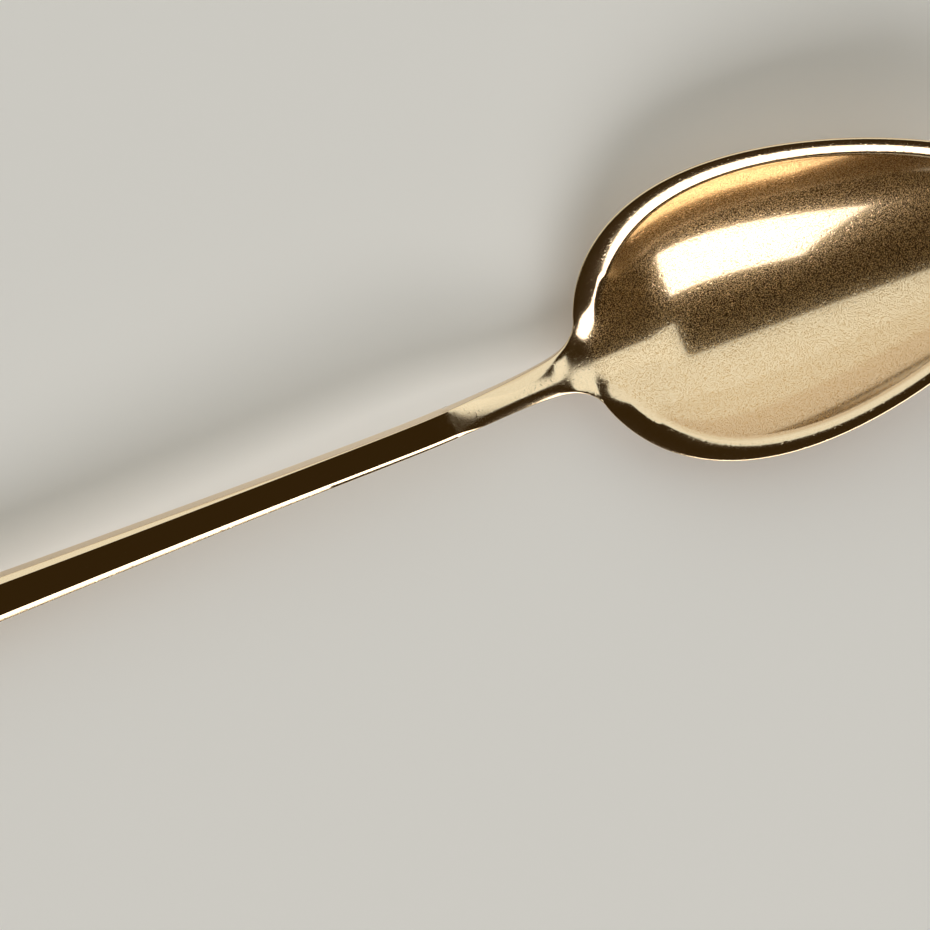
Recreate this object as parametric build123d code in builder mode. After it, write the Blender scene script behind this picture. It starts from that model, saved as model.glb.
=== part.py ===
"""Bar spoon: a rimmed bowl on a slim faceted stem with a weighted end.

Millimetres. The spoon lies on a table at Z = 0, with +X towards the bowl's tip and +Z up.
"""

from build123d import *
import os
from math import cos, exp, pi, radians, sin, sqrt, tan

os.makedirs("parts", exist_ok=True)

# Overall
overall_length = 300.0
rim_pitch = 11.5  # the rim rises towards the tip when the spoon lies on a table

# Bowl
bowl_length = 46.5
egg_terms = (1290, -1293, 462)  # shape the outline's half width, slimmer at the tip than at the heel
rim_thickness = 1.3
roll_radius = 0.9  # rounding from the rim into the hollow
heel_margin = 2.5  # rim width at the heel, at the tip and on the sides
tip_margin = 2.1
side_margin = 1.75
centre_rise = 9.2  # the hollow's round sections have their centres this far above the rim
wall = 1.15
flare_radius = 2.3  # concave corner between the neck and the rim
heel_width = 3.06  # of the neck where the flare starts
overrun = 0.04  # the hollow's cutting profile runs past both ends of the rim by this share

# Neck, and the tang on its end
neck_length = 13.0
joint_width = 2.76
joint_thickness = 2.3
lower_neck = [
    # back from the heel, width, thickness, lift of the middle above the heel, corner rounding
    (7.8, 2.72, 2.1, 0.95, 0.6),
    (3.9, 3.0, 1.8, 0.05, 0.7),
    (-1.5, 4.4, 1.2, -0.35, 0.55),
]
joint_rounding = 0.15
tang_radius = 0.7
tang_length = 7.0

# Stem
stem_length = 213.0
end_width = 6.0
end_thickness = 4.2
width_reach = 66.0  # most of the widening happens this far back from the joint
bevel_width = 0.85
bevel_start = 0.06
bevel_reach = 12.0
bevel_slope = 25.0
far_end_middle = 3.9  # height of its middle where the arch would end
arch_rise = 3.6  # how far the stem climbs from its far end to the neck
arch_reach = 60.0
neck_dip = 0.9  # the stem already falls towards the neck over its last few millimetres
dip_reach = 4.0
stem_steps = 12

# Threaded stud and end weight
stud_radius = 1.25
stud_length = 12.0
stud_chamfer = 0.3
bore_clearance = 0.05
weight_width = 9.0
weight_thickness = 7.0
weight_bevel = 1.6
full_size_share = 0.35  # the last part of the weight's length has its full size
end_chamfer = 0.6
groove_width = 0.5
groove_depth = 0.3


def egg_square(u):
    """Square of the rim's half width at u, from 0 at the heel to 1 at the tip."""
    level, slope, curve = egg_terms
    return u * (1 - u) * (level + slope * u + curve * u * u)


def spread(start, end, steps=12):
    """Numbers from start to end, close together at both ends."""
    return [start + (end - start) * (1 - cos(pi * i / steps)) / 2 for i in range(steps + 1)]


def facets(width, thickness, bevel):
    """Corners of an eight-sided section: four flat sides joined by bevels."""
    fall = bevel * tan(radians(bevel_slope))
    y = width / 2
    z = thickness / 2
    top = [(y, z - fall), (y - bevel, z), (bevel - y, z), (-y, z - fall)]
    return top + [(-y, -z) for y, z in top]


# The hollow follows the rim's outline at a smaller size, with round sections
rim_half = max(sqrt(egg_square(u)) for u in spread(0, 1, 60))
hollow_share = (rim_half - side_margin) / rim_half
hollow_length = bowl_length - heel_margin - tip_margin


def section(u, grow=0.0):
    """Place along the rim and radius of the hollow's round section, or of the bowl's outside when grown."""
    along = heel_margin - grow + (hollow_length + 2 * grow) * u
    return along, grow + sqrt(centre_rise**2 + hollow_share**2 * egg_square(u))


# Where the pieces stand: the bowl's underside touches the table and its tip ends the spoon
pitch = radians(rim_pitch)
outside = [section(u, wall) for u in spread(0, 1, 400)]
heel_height = max((r - centre_rise) * cos(pitch) - x * sin(pitch) for x, r in outside)
heel_x = overall_length / 2 - bowl_length * cos(pitch) - rim_thickness * sin(pitch)
joint_x = heel_x - neck_length
seam_x = joint_x - stem_length
end_x = -overall_length / 2
rim_plane = Plane(
    origin=(heel_x, 0, heel_height),
    x_dir=(cos(pitch), 0, sin(pitch)),
    z_dir=(-sin(pitch), 0, cos(pitch)),
)
centre_plane = rim_plane.offset(centre_rise)
section_centres = Axis(centre_plane.origin, -centre_plane.x_dir)


def across(x, z):
    """Plane across the spoon, facing the bowl's tip."""
    return Plane(origin=(x, 0, z), x_dir=(0, 1, 0), z_dir=(1, 0, 0))


def stem_middle(back):
    """Height of the stem's middle, a distance back from the joint: a long arch that dips to the neck."""
    return far_end_middle + arch_rise * exp(-back / arch_reach) - neck_dip * exp(-back / dip_reach)


def on_rim(item):
    """Whether an edge lies in the rim's top face."""
    return abs(rim_plane.to_local_coords(item.center()).Z) < 0.001


def bowl_profile(grow=0.0):
    """Half section of the hollow, or of the bowl's outside when grown by the wall."""
    with BuildSketch(centre_plane) as profile:
        with BuildLine():
            extra = 0.0 if grow else overrun
            points = [section(u, grow) for u in spread(-extra, 1 + extra)]
            curve = Spline(points)
            Polyline(curve @ 0, (points[0][0], 0), (points[-1][0], 0), curve @ 1)
        make_face()
    return profile.sketch


seam_middle = stem_middle(stem_length)
weight_length = seam_x - end_x

# Outline of the rim, with the concave corners where the neck flares into it
with BuildSketch(rim_plane) as rim_outline:
    with BuildLine():
        outline = [(bowl_length * u, sqrt(max(egg_square(u), 0))) for u in spread(0, 1)]
        edge = Spline(outline, tangents=[(0, 1), (0, -1)])
        mirror(edge, about=Plane.XZ)
    make_face()
    Rectangle(2 * flare_radius, heel_width)
    corners = rim_outline.vertices().filter_by(lambda v: 0.02 < v.X < 1.0)
    fillet(corners, radius=flare_radius)

# Bowl with its rim, neck and tang
with BuildPart() as bowl:
    revolve(bowl_profile(wall), axis=section_centres, revolution_arc=180)
    extrude(rim_outline.sketch, amount=-2 * bowl_length, mode=Mode.INTERSECT)
    extrude(rim_outline.sketch, amount=-rim_thickness)

    # The neck falls from the joint to the heel, getting wider, thinner and rounder
    joint_station = (neck_length, joint_width, joint_thickness, stem_middle(0) - heel_height, joint_rounding)
    for back, width, thickness, lift, corner in [joint_station] + lower_neck:
        with BuildSketch(across(heel_x - back, heel_height + lift)):
            RectangleRounded(width, thickness, corner)
    loft()

    revolve(bowl_profile(), axis=section_centres, revolution_arc=180, mode=Mode.SUBTRACT)
    rim_edges = bowl.edges().filter_by(on_rim)
    fillet(rim_edges.sort_by(SortBy.LENGTH)[-1], radius=roll_radius)

    with BuildSketch(across(joint_x, stem_middle(0))):
        Circle(tang_radius)
    extrude(amount=-tang_length)
bowl.part.label = "bowl"
export_step(bowl.part, "parts/bowl.step")

# Stem, with a socket for the tang and a tapped hole for the stud
with BuildPart() as stem:
    for i in range(stem_steps + 1):
        back = stem_length * (i / stem_steps) ** 2
        width = end_width - (end_width - joint_width) * exp(-((back / width_reach) ** 2))
        thickness = joint_thickness + (end_thickness - joint_thickness) * back / stem_length
        bevel = bevel_start + bevel_width * (1 - exp(-back / bevel_reach))
        with BuildSketch(across(joint_x - back, stem_middle(back))):
            Polygon(*facets(width, thickness, bevel), align=None)
    loft()
    with BuildSketch(across(joint_x, stem_middle(0))):
        Circle(tang_radius + bore_clearance)
    extrude(amount=-tang_length - bore_clearance, mode=Mode.SUBTRACT)
    with BuildSketch(across(seam_x, seam_middle)):
        Circle(stud_radius + bore_clearance)
    extrude(amount=stud_length / 2 + bore_clearance, mode=Mode.SUBTRACT)
stem.part.label = "stem"
export_step(stem.part, "parts/stem.step")

# Stud that joins the weight to the stem
with BuildPart() as stud:
    with BuildSketch(across(seam_x, seam_middle)):
        Circle(stud_radius)
    extrude(amount=stud_length / 2, both=True)
    chamfer(stud.edges().filter_by(GeomType.CIRCLE), length=stud_chamfer)
stud.part.label = "joining_stud"
export_step(stud.part, "parts/joining_stud.step")

# End weight: a groove at the seam, a flare, and a thick end whose underside lies on the table
with BuildPart() as weight:
    with BuildSketch(across(seam_x, seam_middle)):
        groove = facets(end_width - 2 * groove_depth, end_thickness - 2 * groove_depth, bevel_width)
        Polygon(*groove, align=None)
    extrude(amount=-groove_width)

    full_size_x = end_x + full_size_share * weight_length
    weight_stations = [
        (seam_x - groove_width, end_width, end_thickness, bevel_width, seam_middle),
        (full_size_x, weight_width, weight_thickness, weight_bevel, weight_thickness / 2),
        (end_x, weight_width, weight_thickness, weight_bevel, weight_thickness / 2),
    ]
    for x, width, thickness, bevel, middle in weight_stations:
        with BuildSketch(across(x, middle)):
            Polygon(*facets(width, thickness, bevel), align=None)
    loft(ruled=True)
    end_face = weight.faces().sort_by(Axis.X)[0]
    chamfer(end_face.edges(), length=end_chamfer)

    with BuildSketch(across(seam_x, seam_middle)):
        Circle(stud_radius + bore_clearance)
    extrude(amount=-stud_length / 2 - bore_clearance, mode=Mode.SUBTRACT)
weight.part.label = "end_weight"
export_step(weight.part, "parts/end_weight.step")
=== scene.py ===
"""Bar spoon with a rolled-rim bowl on a slim faceted stem, polished and plated in pale gold."""

import bmesh
import bpy
from math import cos, exp, pi, radians, sin, sqrt, tan
from mathutils import Matrix, Vector


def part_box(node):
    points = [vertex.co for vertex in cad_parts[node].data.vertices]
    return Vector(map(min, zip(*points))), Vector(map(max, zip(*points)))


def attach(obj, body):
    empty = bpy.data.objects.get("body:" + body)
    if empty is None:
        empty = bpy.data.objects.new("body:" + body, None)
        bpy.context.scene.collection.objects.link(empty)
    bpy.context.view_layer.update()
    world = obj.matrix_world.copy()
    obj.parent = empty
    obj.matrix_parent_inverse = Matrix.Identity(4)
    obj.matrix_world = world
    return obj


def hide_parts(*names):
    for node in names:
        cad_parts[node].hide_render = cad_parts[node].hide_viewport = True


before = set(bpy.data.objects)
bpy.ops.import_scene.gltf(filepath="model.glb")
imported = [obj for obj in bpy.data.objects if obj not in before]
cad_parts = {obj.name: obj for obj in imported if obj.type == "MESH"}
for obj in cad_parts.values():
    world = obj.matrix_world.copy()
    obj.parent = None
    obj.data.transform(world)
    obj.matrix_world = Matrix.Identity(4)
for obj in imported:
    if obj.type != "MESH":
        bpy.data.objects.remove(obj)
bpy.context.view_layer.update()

# Bowl: a forged egg-shaped bowl with a rolled rim, tipped up towards its tip, in gold-plated brass.
# The neck is one piece with it: it flares out of the heel, and its crown runs over a low saddle into
# the hollow. Behind the neck the bowl is brazed flush to the stem. Sizes are in millimetres.
mm = 0.001
pitch = radians(11.5)
bowl_length = 46.5
rim_thickness = 1.3
heel_margin, tip_margin, side_margin = 2.5, 2.1, 1.7
roll_drop = 0.32
centre_rise = 9.2
wall = 0.88
edge_radius = 0.14
undercut, undercut_width, undercut_step = 0.35, 0.35, 0.15
deepest_share = 0.42
egg_terms = (1290, 1293, 462)
roll_power = 2.5

tip = Vector(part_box("bowl")[1]) / mm
heel_x = tip.x - bowl_length * cos(pitch) - rim_thickness * sin(pitch)
heel_z = tip.z - bowl_length * sin(pitch)
hollow_length = bowl_length - heel_margin - tip_margin
lay_down = Matrix.Translation((heel_x, 0, heel_z)) @ Matrix.Rotation(-pitch, 4, "Y")


def taper(u):
    """How far the egg outline swells, from its blunt heel to its narrower tip."""
    blunt, fall, curve = egg_terms
    return blunt - fall * u + curve * u * u


rim_half = max(sqrt(u * (1 - u) * taper(u)) for u in [i / 200 for i in range(201)])
hollow_share = (rim_half - side_margin) / rim_half


def egg(turn, start, length, share, height):
    """Point of an egg outline, with the turn counted from the heel."""
    u = (1 - cos(turn)) / 2
    return Vector((start + length * u, share * sin(turn) / 2 * sqrt(taper(u)), height))


def rim_point(turn, inset=0.0, height=0.0):
    """Outer edge of the rim, moved in by an inset."""
    point = egg(turn, 0, bowl_length, 1, height)
    ahead = egg(turn + 0.001, 0, bowl_length, 1, height) - point
    return point + Vector((ahead.y, -ahead.x, 0)).normalized() * inset


def hollow_point(turn):
    """Outer edge of the hollow, at the foot of the rim's roll."""
    return egg(turn, heel_margin, hollow_length, hollow_share, -roll_drop)


def hollow_height(x, y):
    """Height of the hollow's surface below the rim."""
    u = (x - heel_margin) / hollow_length
    square = centre_rise ** 2 + hollow_share ** 2 * u * (1 - u) * taper(u) - y ** 2
    return centre_rise - roll_drop - sqrt(square)


def shell_point(point):
    """Point of the bowl's outside, a wall below a point of the hollow."""
    x, y, step = point.x, point.y, 0.01
    rise_x = (hollow_height(x + step, y) - hollow_height(x - step, y)) / (2 * step)
    rise_y = (hollow_height(x, y + step) - hollow_height(x, y - step)) / (2 * step)
    return point + Vector((rise_x, rise_y, -1)).normalized() * wall


deepest = Vector((heel_margin + deepest_share * hollow_length, 0, 0))
deepest.z = hollow_height(deepest.x, 0)


def hollow_at(turn, share):
    """Point of the hollow on the way from its middle to its edge."""
    flat = deepest.lerp(hollow_point(turn), share)
    return Vector((flat.x, flat.y, hollow_height(flat.x, flat.y)))


def roll_at(turn, share):
    """Point of the rim's roll, from the outer edge to the hollow."""
    start = rim_point(turn, edge_radius)
    point = start.lerp(hollow_point(turn), share)
    point.z = -roll_drop * share ** roll_power
    return point


def start_ring(mesh, points):
    """A closed end through the points."""
    ring = bmesh.ops.create_circle(mesh, cap_ends=True, segments=len(points), radius=1)["verts"]
    for vert, point in zip(ring, points):
        vert.co = point
    return ring


def draw_out(mesh, ring, points):
    """Extrude a ring of vertices and lay the new ring through the points."""
    edges = [mesh.edges.get(pair) for pair in zip(ring, ring[1:] + ring[:1])]
    made = bmesh.ops.extrude_edge_only(mesh, edges=edges)["geom"]
    fresh = {part for part in made if isinstance(part, bmesh.types.BMVert)}
    new_ring = []
    for vert, point in zip(ring, points):
        new = next(e.other_vert(vert) for e in vert.link_edges if e.other_vert(vert) in fresh)
        new.co = point
        new_ring.append(new)
    return new_ring


# The bowl is drawn ring by ring: out of the hollow, over the rim's roll, down its side and back
# underneath
around = 384
hollow_rings, roll_rings, shell_rings, middle_share = 44, 10, 30, 0.1
corner = [radians(a) for a in (22.5, 45, 67.5, 90)]
profile = [
    lambda turn, k=k: hollow_at(turn, k / hollow_rings)
    for k in [middle_share] + list(range(1, hollow_rings + 1))
]
profile += [lambda turn, k=k: roll_at(turn, 1 - k / roll_rings) for k in range(1, roll_rings + 1)]
profile += [
    lambda turn, a=a: rim_point(turn, edge_radius * (1 - sin(a)), edge_radius * (cos(a) - 1))
    for a in corner
]
profile += [
    lambda turn, a=a: rim_point(
        turn, undercut + edge_radius * (1 - cos(a)), edge_radius * (1 - sin(a)) - rim_thickness)
    for a in [0] + corner
]
profile += [
    lambda turn, k=k: rim_point(turn, undercut + undercut_width + undercut_step * k, -rim_thickness)
    for k in range(2)
]
profile += [
    lambda turn, k=k: shell_point(hollow_at(turn, k / shell_rings))
    for k in list(range(shell_rings - 2, 0, -1)) + [middle_share]
]
spoon = bmesh.new()
turns = [2 * pi * i / around for i in range(around)]
loops = [start_ring(spoon, [profile[0](turn) for turn in turns])]
for point in profile[1:]:
    loops.append(draw_out(spoon, loops[-1], [point(turn) for turn in turns]))
bmesh.ops.contextual_create(spoon, geom=loops[-1])
crease = hollow_rings
top_edge = crease + roll_rings
bottom_edge = top_edge + 2 * len(corner) + 1


def heel_arc(half):
    """Places on a ring within a number of steps of the heel."""
    return [i % around for i in range(-half, half + 1)]


# Lip: the heel of the rim falls away under the neck's crown
sector = 16
opening = heel_arc(sector)
lip_start = 25
lip_tilt = radians(13)
lip_drop, lip_fall, lip_curve, lip_reach = 0.15, tan(pitch + lip_tilt), 0.019, 5.0
lip_radius = 26.0
for loop in loops[lip_start:top_edge + 1]:
    for k, i in enumerate(opening):
        vert = loop[i]
        x, y = min(vert.co.x, lip_reach), vert.co.y
        share = (1 - abs((k - sector) / sector) ** 3) ** 1.5
        ramp = -lip_drop - lip_fall * x - lip_curve * x ** 2 + y ** 2 / (2 * lip_radius)
        if vert.co.x < lip_reach:
            vert.co.z += share * min(0.0, ramp - vert.co.z)

# The rim's side opens at the heel, and the neck grows out of the opening
side_loops = loops[top_edge + 1:bottom_edge]
inner = [loop[i] for loop in side_loops for i in opening[1:-1]]
bmesh.ops.delete(spoon, geom=inner, context="VERTS")
ring = [loops[top_edge][i] for i in opening]
ring += [loop[opening[-1]] for loop in side_loops]
ring += [loops[bottom_edge][i] for i in reversed(opening)]
ring += [loop[opening[0]] for loop in reversed(side_loops)]

neck_start, neck_length = 2.6, 13.0
joint_width, joint_thickness, root_thickness = 2.76, 2.3, 1.55
joint_height, seam_gap = 6.6, 0.01
right_joint_bevel, left_joint_bevel = 0.38, 0.05
bevel_start, bevel_slope = 10.4, tan(radians(25))
neck_drop = (0.77, joint_height + joint_thickness / 2 - heel_z)
neck_slope = (0.25, 0.222)
neck_crown, crown_shift = 0.42, 0.3
crown_start, crown_growth = 0.4, 3.5
flare, flare_reach = 2.2, 2.6
top_fillet, low_fillet, fillet_power = 0.15, 0.4, 5


def neck_section(back):
    """Closed section of the neck, in the order of the opening's edge."""
    run = neck_length - neck_start
    t = (back - neck_start) / run
    top = (neck_drop[0] * (1 - t) ** 2 * (1 + 2 * t) + neck_drop[1] * t * t * (3 - 2 * t)
           + run * (neck_slope[0] * t * (1 - t) ** 2 - neck_slope[1] * t * t * (1 - t)))
    spread = flare * (exp(-back / flare_reach) - exp(-neck_length / flare_reach))
    half = (joint_width + spread) / 2 - seam_gap
    thickness = joint_thickness + (root_thickness - joint_thickness) * (1 - t)
    crown = neck_crown * (1 - t) ** 2 * (crown_start + crown_growth * t)
    across = [-cos(pi * i / (len(opening) - 1)) for i in range(len(opening))]
    fillets = [1 - (1 - abs(v) ** fillet_power) ** (1 / fillet_power) for v in across]
    square = max(0.0, (back - bevel_start) / (neck_length - bevel_start))
    points = []
    for v, fillet in zip(across, fillets):
        bevel = square * (left_joint_bevel if v > 0 else right_joint_bevel)
        fall = top_fillet * (1 - square) * fillet + bevel_slope * max(0.0, bevel - half * (1 - abs(v)))
        points.append((half * v, top - crown * (v + crown_shift) ** 2 - fall))
    lower = top - thickness + low_fillet
    (right_y, right_z), (left_y, left_z) = points[0], points[-1]
    shares = [k / (len(side_loops) + 1) for k in range(1, len(side_loops) + 1)]
    points += [(left_y, left_z + (lower - left_z) * share) for share in shares]
    points += [(-half * v, top - thickness + low_fillet * f) for v, f in zip(across, fillets)]
    points += [(right_y, right_z + (lower - right_z) * share) for share in reversed(shares)]
    return [lay_down.inverted() @ Vector((heel_x - back, y, heel_z + z)) for y, z in points]


# Smooth lines flow from the neck into the lip in the middle, and along the rim's outline at the sides
flow_steps, flow_pull, side_turn = 16, 1.1, 1.3
along_x, along_y = 0.22, 0.97
neck_steps = 24
section = neck_section(neck_start)
widening = flare / flare_reach * exp(-neck_start / flare_reach)
into_bowl = lay_down.inverted().to_3x3()
corner_side = ring[0].co.y
neck_loops = [ring]
for step in range(1, flow_steps + 1):
    t = 1 - step / flow_steps
    points = []
    for start, vert in zip(section, ring):
        end = vert.co
        reach = (end - start).length * flow_pull
        leave = (into_bowl @ Vector((1, start.y / joint_width * widening, -neck_slope[0]))).normalized()
        share = min(1.0, abs(end.y / corner_side)) ** side_turn
        outline = Vector((along_x, along_y if end.y > 0 else -along_y, 0))
        arrive = Vector((1, 0, -lip_fall)).lerp(outline, share).normalized()
        points.append(
            start * (2 * t ** 3 - 3 * t ** 2 + 1) + leave * reach * (t ** 3 - 2 * t ** 2 + t)
            + end * (3 * t ** 2 - 2 * t ** 3) + arrive * reach * (t ** 3 - t ** 2)
        )
    neck_loops.append(draw_out(spoon, neck_loops[-1], points))
for step in range(1, neck_steps + 1):
    back = neck_start + (neck_length - neck_start) * step / neck_steps
    neck_loops.append(draw_out(spoon, neck_loops[-1], neck_section(back)))
bmesh.ops.contextual_create(spoon, geom=neck_loops[-1])

# The saddle between neck and hollow is polished to one smooth surface, each pass over a smaller part
passes, strokes = 10, 8
hollow_arc, roll_arc, rim_arc, neck_reach = 30, 24, 19, 14
hollow_band, roll_band = loops[crease - 9:crease + 2], loops[crease + 2:crease + 8]
rim_band = loops[crease + 8:top_edge + 1]
for k in range(passes):
    margin = 1 + k // 3
    saddle = [loop[i] for loop in hollow_band for i in heel_arc(hollow_arc - k)]
    saddle += [loop[i] for loop in roll_band for i in heel_arc(roll_arc - 2 * k)]
    saddle += [loop[i] for loop in rim_band for i in heel_arc(rim_arc - 2 * k)]
    saddle += [v for loop in neck_loops[1:neck_reach - k] for v in loop[margin:len(opening) - margin]]
    for stroke in range(strokes):
        bmesh.ops.smooth_vert(
            spoon, verts=saddle, factor=0.5, use_axis_x=True, use_axis_y=True, use_axis_z=True)
spoon.transform(lay_down)


def linear(hex_colour):
    """Linear RGBA of an sRGB hex colour."""
    values = [int(hex_colour[i:i + 2], 16) / 255 for i in (0, 2, 4)]
    return [v / 12.92 if v <= 0.04045 else ((v + 0.055) / 1.055) ** 2.4 for v in values] + [1.0]


def add_node(tree, kind, **values):
    """Add a node with its settings in small letters and its sockets in capitals.

    A socket's value is a number or colour, or a node and the name or number of its output.
    """
    node = tree.nodes.new(kind)
    for name, value in values.items():
        if not name[0].isupper():
            setattr(node, name, value)
    for name, value in values.items():
        if name[0].isupper():
            socket = node.inputs[name.replace("_", " ")]
            if isinstance(value, tuple) and isinstance(value[0], bpy.types.Node):
                tree.links.new(value[0].outputs[value[1]], socket)
            else:
                socket.default_value = value
    return node


def new_material(name):
    """An empty node material and its node tree."""
    material = bpy.data.materials.new(name)
    material.use_nodes = True
    material.node_tree.nodes.clear()
    return material, material.node_tree


# Pale gold plating over polished brass: a mirror with a warm tint that shows every facet. Wiping and
# stirring have left the hollow finely grained, so reflections there have soft edges and a warm haze.
# Real grain is about 0.01 mm: it is drawn as 14 pores and 3.3 specks to a millimetre so that it shows.
gold_colour, pore_colour = linear("F3DAB5"), linear("DDB070")
pores_per_mm, specks_per_mm = 14, 3.3
pore_edge, pore_floor = 0.5, 0.68
speck_edge, speck_top = 0.6, 0.8
bright, stem_haze, bowl_haze = 0.1, 0.1, 0.46
stem_rub, rim_pores = 0.3, 0.2
speck_height, peel_height = 0.006 * mm, 0.001 * mm
rub_start, rub_end = 96 * mm, 108 * mm
roll_depth, hollow_depth = 0.3 * mm, 0.8 * mm
rim_up = Vector((-sin(pitch), 0, cos(pitch)))
rim_level = rim_up.dot(Vector((heel_x, 0, heel_z)) * mm)

gold, tree = new_material("pale_gold_plate")
place = add_node(tree, "ShaderNodeTexCoord")
along = add_node(tree, "ShaderNodeSeparateXYZ", Vector=(place, "Object"))
rubbed = add_node(
    tree, "ShaderNodeMapRange", Value=(along, "X"), From_Min=rub_start, From_Max=rub_end,
    To_Min=stem_rub, To_Max=1.0)
depth = add_node(tree, "ShaderNodeVectorMath", operation="DOT_PRODUCT", Vector=(place, "Object"))
depth.inputs[1].default_value = rim_up
hollow = add_node(
    tree, "ShaderNodeMapRange", Value=(depth, "Value"), From_Min=rim_level - roll_depth,
    From_Max=rim_level - hollow_depth, To_Min=rim_pores, To_Max=1.0)
haze = add_node(
    tree, "ShaderNodeMapRange", Value=(rubbed, "Result"), To_Min=stem_haze, To_Max=bowl_haze)
pores = add_node(
    tree, "ShaderNodeTexNoise", Vector=(place, "Object"), Scale=pores_per_mm / mm, Detail=0.0)
open_pores = add_node(
    tree, "ShaderNodeMapRange", Value=(pores, "Fac"), From_Min=pore_edge, From_Max=pore_floor,
    To_Max=(hollow, "Result"))
gloss = add_node(
    tree, "ShaderNodeMapRange", Value=(open_pores, "Result"), To_Min=bright, To_Max=(haze, "Result"))
tone = add_node(tree, "ShaderNodeMix", data_type="RGBA", Factor=(open_pores, "Result"))
tone.inputs[6].default_value = gold_colour
tone.inputs[7].default_value = pore_colour
grains = add_node(
    tree, "ShaderNodeTexNoise", Vector=(place, "Object"), Scale=specks_per_mm / mm, Detail=1.5)
specks = add_node(
    tree, "ShaderNodeMapRange", Value=(grains, "Fac"), From_Min=speck_edge, From_Max=speck_top)
bump = add_node(
    tree, "ShaderNodeBump", Strength=(rubbed, "Result"), Distance=speck_height,
    Height=(specks, "Result"))
peel = add_node(
    tree, "ShaderNodeBump", Strength=(rubbed, "Result"), Distance=peel_height,
    Height=(grains, "Fac"), Normal=(bump, "Normal"))
shader = add_node(
    tree, "ShaderNodeBsdfPrincipled", Base_Color=(tone, 2), Metallic=1.0,
    Roughness=(gloss, "Result"), Normal=(peel, "Normal"))
add_node(tree, "ShaderNodeOutputMaterial", Surface=(shader, "BSDF"))

crisp_angle = radians(50)


def finish_mesh(mesh, name, material, slot, *nodes):
    """Turn a bmesh in millimetres into a finished piece that stands for CAD nodes."""
    bmesh.ops.recalc_face_normals(mesh, faces=mesh.faces)
    for edge in mesh.edges:
        edge.smooth = edge.calc_face_angle(0) < crisp_angle
    bmesh.ops.scale(mesh, vec=(mm, mm, mm), verts=mesh.verts)
    data = bpy.data.meshes.new(name)
    mesh.to_mesh(data)
    mesh.free()
    data.shade_smooth()
    piece = bpy.data.objects.new(name, data)
    bpy.context.scene.collection.objects.link(piece)
    data.materials.append(material)
    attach(piece, "root")
    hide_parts(*nodes)
    return piece


finish_mesh(spoon, "polished_bowl", gold, "gold_polish", "bowl")

# Stem: a slim bar of drawn brass, ground flat on its sides and gold plated. Bevels join the sides:
# they begin at the neck, to which the bar is brazed, and widen along it, the right one sooner.
stem_low, stem_high = [Vector(corner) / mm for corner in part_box("stem")]
stem_length = stem_high.x - stem_low.x
joint_x = stem_high.x
end_width, end_thickness = 6.0, 4.2
widening_reach = 66
rest_height, arch_height, arch_reach = 3.9, 3.6, 60
joint_dip, dip_reach = 0.9, 3.2
full_bevel, right_reach, left_reach = 0.7, 40, 34
stem_steps = 90


def stem_middle(back):
    """Height of the stem's middle, a distance back from the joint."""
    return rest_height + arch_height * exp(-back / arch_reach) - joint_dip * exp(-back / dip_reach)


def facet_section(x, middle, width, thickness, right_bevel, left_bevel, soften=0.07):
    """Eight-sided section across the spoon, its corners a little rounded."""
    y, z = width / 2, thickness / 2
    left = [Vector((x, y, z - left_bevel * bevel_slope)), Vector((x, y - left_bevel, z))]
    right = [Vector((x, right_bevel - y, z)), Vector((x, -y, z - right_bevel * bevel_slope))]
    under = [Vector((p.x, p.y, -p.z)) for p in reversed(left + right)]
    corners = left + right + under
    points = []
    for before, here, after in zip(corners[-1:] + corners[:-1], corners, corners[1:] + corners[:1]):
        reach = min(soften, (before - here).length / 3, (after - here).length / 3)
        first = here + (before - here).normalized() * reach
        last = here + (after - here).normalized() * reach
        points += [first, (first + last + 2 * here) / 4, last]
    return [p + Vector((0, 0, middle)) for p in points]


def keep_facets_flat(piece):
    """Flat facets keep flat reflections up to their fine rounded corners."""
    weighted = piece.modifiers.new("flat_facets", "WEIGHTED_NORMAL")
    weighted.weight = 90
    weighted.keep_sharp = True


bar = bmesh.new()
for i in range(stem_steps + 1):
    back = stem_length * (i / stem_steps) ** 2
    width = end_width - (end_width - joint_width) * exp(-((back / widening_reach) ** 2))
    thickness = joint_thickness + (end_thickness - joint_thickness) * back / stem_length
    right_bevel = full_bevel - (full_bevel - right_joint_bevel) * exp(-back / right_reach)
    left_bevel = full_bevel - (full_bevel - left_joint_bevel) * exp(-((back / left_reach) ** 2))
    points = facet_section(joint_x - back, stem_middle(back), width, thickness, right_bevel, left_bevel)
    ring = draw_out(bar, ring, points) if i else start_ring(bar, points)
bmesh.ops.contextual_create(bar, geom=ring)
keep_facets_flat(finish_mesh(bar, "polished_stem", gold, "gold_polish", "stem"))

# End weight: a solid milled brass end in the same plating, screwed tight on a hidden stud.
# Behind a fine groove the stem's facets flare into its thick end, which lies flat on the table.
weight_low, weight_high = [Vector(corner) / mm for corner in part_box("end_weight")]
seam_x, end_x = weight_high.x, weight_low.x
seam_middle = stem_middle(stem_length)
seam_bevel = 0.85
groove_width, groove_depth = 0.5, 0.3
weight_width, weight_thickness, weight_bevel = 9.0, 7.0, 1.6
end_chamfer, end_bevel = 0.6, 1.25
block_share = 0.35
flare_end = end_x + block_share * (seam_x - end_x)
groove_size = (end_width - 2 * groove_depth, end_thickness - 2 * groove_depth)
face_size = (weight_width - 2 * end_chamfer, weight_thickness - 2 * end_chamfer)
stations = [
    (seam_x, seam_middle, *groove_size, seam_bevel),
    (seam_x - groove_width, seam_middle, *groove_size, seam_bevel),
    (seam_x - groove_width, seam_middle, end_width, end_thickness, seam_bevel),
    (flare_end, weight_thickness / 2, weight_width, weight_thickness, weight_bevel),
    (end_x + end_chamfer, weight_thickness / 2, weight_width, weight_thickness, weight_bevel),
    (end_x, weight_thickness / 2, *face_size, end_bevel),
]
weight = bmesh.new()
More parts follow.
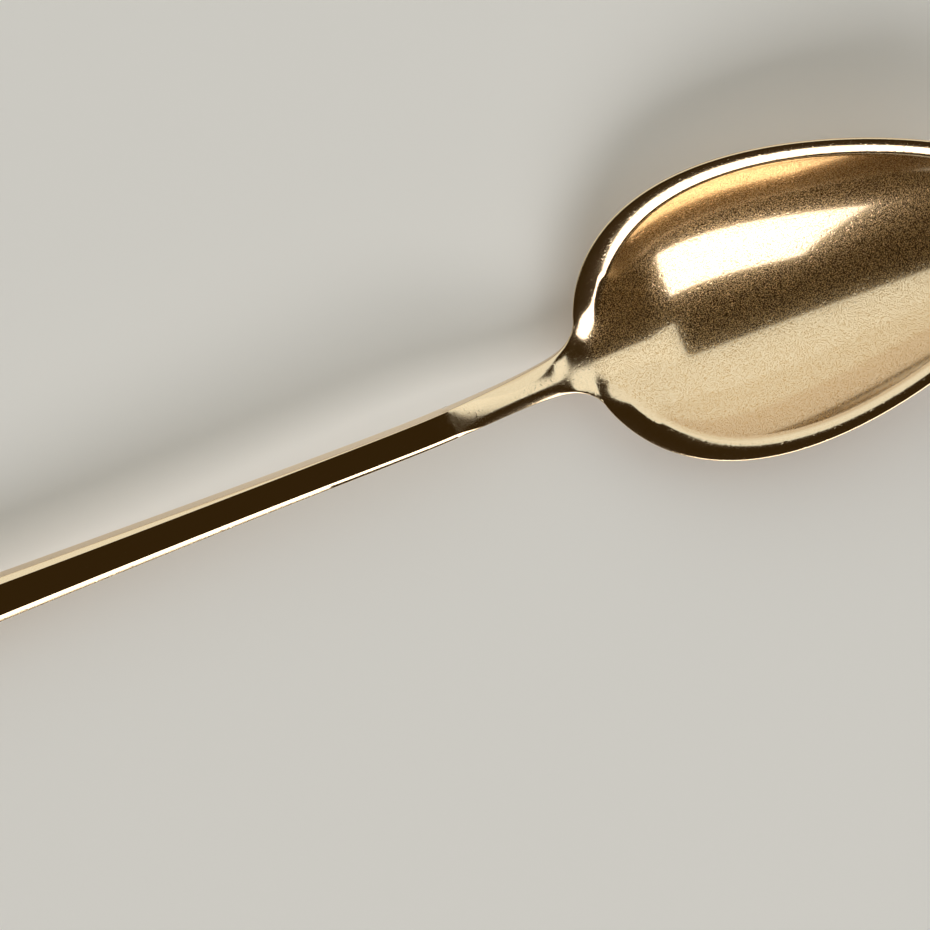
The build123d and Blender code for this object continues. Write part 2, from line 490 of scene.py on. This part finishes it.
for station in stations:
    points = facet_section(*station, left_bevel=station[-1])
    ring = start_ring(weight, points) if station is stations[0] else draw_out(weight, ring, points)
bmesh.ops.contextual_create(weight, geom=ring)
keep_facets_flat(finish_mesh(weight, "polished_weight", gold, "gold_polish", "end_weight"))

# Joining stud: a short threaded stud of plain steel, screwed into the stem and the weight and out of
# sight inside them. Its turned surface is bare and unpolished, a grey metal with an uneven gloss.
# Turning marks of about 0.2 mm are drawn as 0.9 patches to a millimetre.
turned_per_mm = 0.9
steel, tree = new_material("turned_steel")
place = add_node(tree, "ShaderNodeTexCoord")
turned = add_node(
    tree, "ShaderNodeTexNoise", Vector=(place, "Object"), Scale=turned_per_mm / mm, Detail=3.0)
gloss = add_node(tree, "ShaderNodeMapRange", Value=(turned, "Fac"), To_Min=0.25, To_Max=0.45)
shader = add_node(
    tree, "ShaderNodeBsdfPrincipled", Base_Color=linear("C9CACC"), Metallic=1.0,
    Roughness=(gloss, "Result"))
add_node(tree, "ShaderNodeOutputMaterial", Surface=(shader, "BSDF"))
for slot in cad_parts["joining_stud"].material_slots:
    slot.material = steel

# Table: a plain board with pale matt paint, wide enough to fill the view from most sides. The paint
# gives no highlights, only soft shadows, and it shows as a pale strip in the sides of the stem.
table_reach = 1.5
table = bmesh.new()
bmesh.ops.create_grid(table, x_segments=1, y_segments=1, size=table_reach)
data = bpy.data.meshes.new("table")
table.to_mesh(data)
table.free()
floor = bpy.data.objects.new("table", data)
bpy.context.scene.collection.objects.link(floor)
pale, tree = new_material("pale_matt_paint")
shader = add_node(tree, "ShaderNodeBsdfPrincipled", Base_Color=linear("F0ECE6"), Roughness=0.8)
add_node(tree, "ShaderNodeOutputMaterial", Surface=(shader, "BSDF"))
data.materials.append(pale)

# Studio: three large panels rise as one curve behind the spoon, a fourth carries them round its tip,
# and a bright narrow strip stands in front. The dark room gives the flat facets their deep brown.
bowl_middle = lay_down @ deepest * mm


def panel(name, first, second, third, radiance, colour):
    """A softbox given by three corners, in metres from the bowl, and facing the bowl."""
    a, b, c = [bowl_middle + Vector(p) for p in (first, second, third)]
    centre = (a + c) / 2
    side, rise = (b - a) / 2, (c - b) / 2
    lamp = bpy.data.lights.new(name, "AREA")
    lamp.shape = "RECTANGLE"
    lamp.size = 2 * side.length
    lamp.size_y = 2 * rise.length
    lamp.energy = radiance * pi * lamp.size * lamp.size_y
    lamp.color = linear(colour)[:3]
    lit = bpy.data.objects.new(name, lamp)
    x, y = side.normalized(), rise.normalized()
    z = x.cross(y)
    if z.dot(centre - bowl_middle) < 0:
        x, z = -x, -z
    lit.matrix_world = Matrix.Translation(centre) @ Matrix((x, y, z)).transposed().to_4x4()
    bpy.context.scene.collection.objects.link(lit)


panel("back_panel_high", (-1.6, 0.26, 1.0), (1.6, 0.26, 1.0), (1.6, 0.75, 0.75), 0.95, "F7FFFF")
panel("back_panel_middle", (-1.6, 0.75, 0.75), (1.6, 0.75, 0.75), (1.6, 1.0, 0.45), 0.85, "F9FDF8")
panel("back_panel_low", (-1.6, 1.0, 0.45), (1.6, 1.0, 0.45), (1.6, 1.1, 0.06), 0.7, "FFFAF0")
panel("tip_panel", (0.46, 0.26, 1.0), (0.46, -0.23, 1.0), (2.6, -0.23, 1.0), 1.05, "F7FFFF")
panel("front_strip", (-0.68, -0.6, 1.12), (0.40, -0.6, 0.95), (0.31, -0.954, 0.382), 3.0, "FFFFFF")

world = bpy.data.worlds.new("dark_studio")
world.use_nodes = True
world.node_tree.nodes["Background"].inputs["Color"].default_value = linear("30230A")
bpy.context.scene.world = world
bpy.context.scene.view_settings.view_transform = "Standard"

# Camera: nearly above the spoon and a little from behind it, with the bowl to the right and the stem
# running out of the view at the left. Its sight line and its right-hand side give its turn.
camera = bpy.data.objects.new("camera", bpy.data.cameras.new("camera"))
bpy.context.scene.collection.objects.link(camera)
bpy.context.scene.camera = camera
camera.data.lens = 216.36
aim, distance = Vector((90.777, -4.556, 5.0)) * mm, 516.54 * mm
away = Vector((0.010978, 0.221200, 0.975167)).normalized()
right = Vector((0.931130, -0.357775, 0.070673))
upward = away.cross(right).normalized()
camera.matrix_world = Matrix.Translation(aim + away * distance) @ Matrix(
    (upward.cross(away), upward, away)).transposed().to_4x4()
